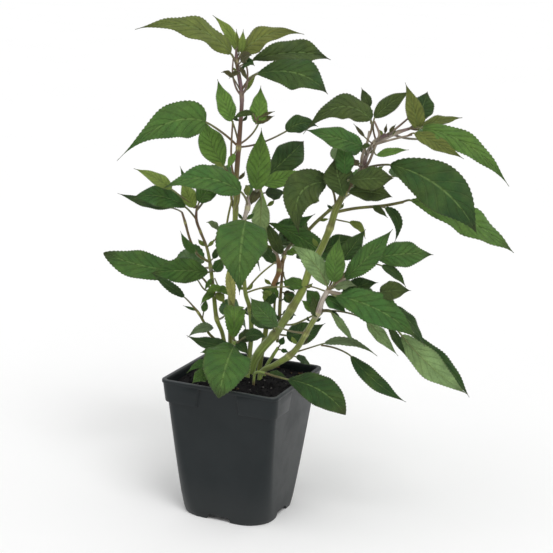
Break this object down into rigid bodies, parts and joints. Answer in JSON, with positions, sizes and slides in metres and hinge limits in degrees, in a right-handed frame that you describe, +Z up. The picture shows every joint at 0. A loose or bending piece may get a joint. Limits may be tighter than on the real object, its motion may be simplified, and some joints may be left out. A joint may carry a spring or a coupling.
{
  "type": "potted pineapple sage",
  "caption": "Leafy young herb plant with tall branching stems and toothed pointed leaves, in a square tapered nursery pot filled with soil.",
  "frame": {"origin": "middle of the pot's underside, on the table it stands on", "axes": "+Z up along the plant, +X and +Y level along two sides of the square pot, so that the tallest leaning stem and most leaves reach towards +X"},
  "size_m": [0.3823, 0.2704, 0.4519],
  "materials": {
    "pot_plastic": "dark slate moulded plastic with a soft sheen",
    "potting_soil": "dark moist potting mix with small crumbs",
    "tall_stem_green": "fresh green leaves with a soft matte face",
    "front_stem_green": "fresh green leaves with a soft matte face",
    "centre_stem_green": "fresh green leaves with a soft matte face",
    "right_stem_green": "fresh green leaves with a soft matte face",
    "low_right_stem_green": "fresh green leaves with a soft matte face",
    "left_stem_green": "fresh green leaves with a soft matte face",
    "front_low_stem_green": "fresh green leaves with a soft matte face",
    "side_sprout_green": "fresh green leaves with a soft matte face",
    "small_stem_green": "fresh green leaves with a soft matte face"
  },
  "bodies": {
    "root": {"pot": "pot_plastic", "soil": "potting_soil", "tall_stem": "tall_stem_green", "front_stem": "front_stem_green", "centre_stem": "centre_stem_green", "right_stem": "right_stem_green", "low_right_stem": "low_right_stem_green", "left_stem": "left_stem_green", "front_low_stem": "front_low_stem_green", "side_sprout": "side_sprout_green", "small_stem": "small_stem_green"}
  },
  "joints": []
}
